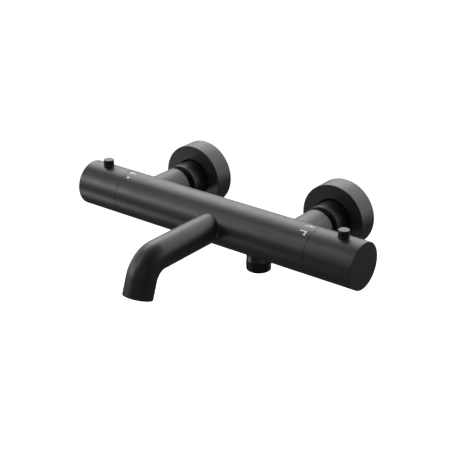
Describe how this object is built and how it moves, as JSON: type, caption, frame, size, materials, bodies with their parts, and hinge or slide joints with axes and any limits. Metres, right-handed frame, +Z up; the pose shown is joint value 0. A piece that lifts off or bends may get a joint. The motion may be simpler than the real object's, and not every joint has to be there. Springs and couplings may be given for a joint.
{
  "type": "wall mounted bath faucet",
  "caption": "Matte black thermostatic bath and shower bar mixer: knobs at both ends, two inlet unions with rosettes, a down-turned spout and a hose outlet.",
  "frame": {"origin": "midway between the axes of the two wall inlet threads, in the plane of the finished wall", "axes": "+X along the bar from the temperature knob to the flow knob, +Y into the wall, +Z up"},
  "size_m": [0.2826, 0.2138, 0.0613],
  "materials": {
    "coat": "matte black powder coat on brass",
    "dark_tail": "black plated brass",
    "rubber": "EPDM rubber",
    "brass": "machined",
    "copper": "drawn copper shell",
    "steel": "drawn stainless steel",
    "pale_plastic": "moulded polymer",
    "grey_plastic": "moulded polymer",
    "aerator_plastic": "moulded polymer",
    "ceramic": "lapped alumina ceramic",
    "print": "white pad print"
  },
  "bodies": {
    "mixer": {"mixer_body": "coat", "water_core": "pale_plastic", "hot_tail_piece": "dark_tail", "cold_tail_piece": "dark_tail", "hot_union_nut": "coat", "cold_union_nut": "coat", "inlet_filter_washers": "rubber", "hot_s_union": "brass", "cold_s_union": "brass", "hot_rosette": "coat", "cold_rosette": "coat", "rosette_gaskets": "rubber", "hot_check_housing": "pale_plastic", "cold_check_housing": "pale_plastic", "hot_check_spring": "steel", "cold_check_spring": "steel", "thermo_housing": "pale_plastic", "thermo_o_rings": "rubber", "thermo_filter_screens": "steel", "thermo_return_spring": "steel", "thermo_nose": "pale_plastic", "thermo_retaining_nut": "brass", "temperature_stop_ring": "grey_plastic", "flow_housing": "pale_plastic", "flow_o_rings": "rubber", "flow_base_seal": "rubber", "flow_fixed_disc": "ceramic", "flow_retaining_nut": "brass", "flow_stop_ring": "grey_plastic", "spout_tube": "coat", "spout_nipple": "brass", "spout_o_rings": "rubber", "spout_set_screw": "steel", "aerator_housing": "coat", "aerator_insert": "aerator_plastic", "hose_outlet": "coat", "outlet_check_housing": "pale_plastic", "outlet_check_spring": "steel", "temperature_marks": "print", "flow_marks": "print"},
    "temperature_knob": {"temperature_knob": "coat", "temperature_knob_hub": "grey_plastic", "temperature_grub_screw": "steel", "thermo_spindle": "brass", "temperature_button_spring": "steel"},
    "temperature_button": {"temperature_button": "coat"},
    "thermostat_piston": {"thermo_drive_cup": "brass", "thermo_wax_element": "copper", "thermo_piston": "steel"},
    "flow_knob": {"flow_knob": "coat", "flow_knob_hub": "grey_plastic", "flow_grub_screw": "steel", "flow_spindle": "brass", "flow_disc_carrier": "grey_plastic", "flow_rotor_disc": "ceramic", "flow_button_spring": "steel"},
    "flow_button": {"flow_button": "coat"},
    "hot_check_valve": {"hot_check_poppet": "grey_plastic"},
    "cold_check_valve": {"cold_check_poppet": "grey_plastic"},
    "outlet_check_valve": {"outlet_check_poppet": "grey_plastic"}
  },
  "joints": [
    {"name": "temperature_knob_turn", "type": "hinge", "parent": "mixer", "child": "temperature_knob", "pos_m": [-0.12, -0.08, 0.012], "axis": [-1, 0, 0], "range_deg": [-170, 90]},
    {"name": "temperature_button_press", "type": "slide", "parent": "temperature_knob", "child": "temperature_button", "axis": [0, 0, -1], "range_m": [0, 0.002], "stiffness_N_per_m": 800, "springref_m": -0.002, "deforming": ["temperature_button_spring"]},
    {"name": "thermostat_piston_travel", "type": "slide", "parent": "mixer", "child": "thermostat_piston", "axis": [1, 0, 0], "range_m": [-0.00145, 0.0008], "deforming": ["thermo_return_spring"]},
    {"name": "flow_knob_turn", "type": "hinge", "parent": "mixer", "child": "flow_knob", "pos_m": [0.12, -0.08, 0.012], "axis": [1, 0, 0], "range_deg": [-90, 90]},
    {"name": "flow_button_press", "type": "slide", "parent": "flow_knob", "child": "flow_button", "axis": [0, 0, -1], "range_m": [0, 0.002], "stiffness_N_per_m": 800, "springref_m": -0.002, "deforming": ["flow_button_spring"]},
    {"name": "hot_check_lift", "type": "slide", "parent": "mixer", "child": "hot_check_valve", "axis": [0, -1, 0], "range_m": [0, 0.003], "stiffness_N_per_m": 60, "springref_m": -0.002, "deforming": ["hot_check_spring"]},
    {"name": "cold_check_lift", "type": "slide", "parent": "mixer", "child": "cold_check_valve", "axis": [0, -1, 0], "range_m": [0, 0.003], "stiffness_N_per_m": 60, "springref_m": -0.002, "deforming": ["cold_check_spring"]},
    {"name": "outlet_check_lift", "type": "slide", "parent": "mixer", "child": "outlet_check_valve", "axis": [0, 0, -1], "range_m": [0, 0.0025], "stiffness_N_per_m": 60, "springref_m": -0.002, "deforming": ["outlet_check_spring"]}
  ],
  "couplings": [
    {"joint": "thermostat_piston_travel", "follows": "temperature_knob_turn", "m_per_rad": 0.0004775}
  ]
}
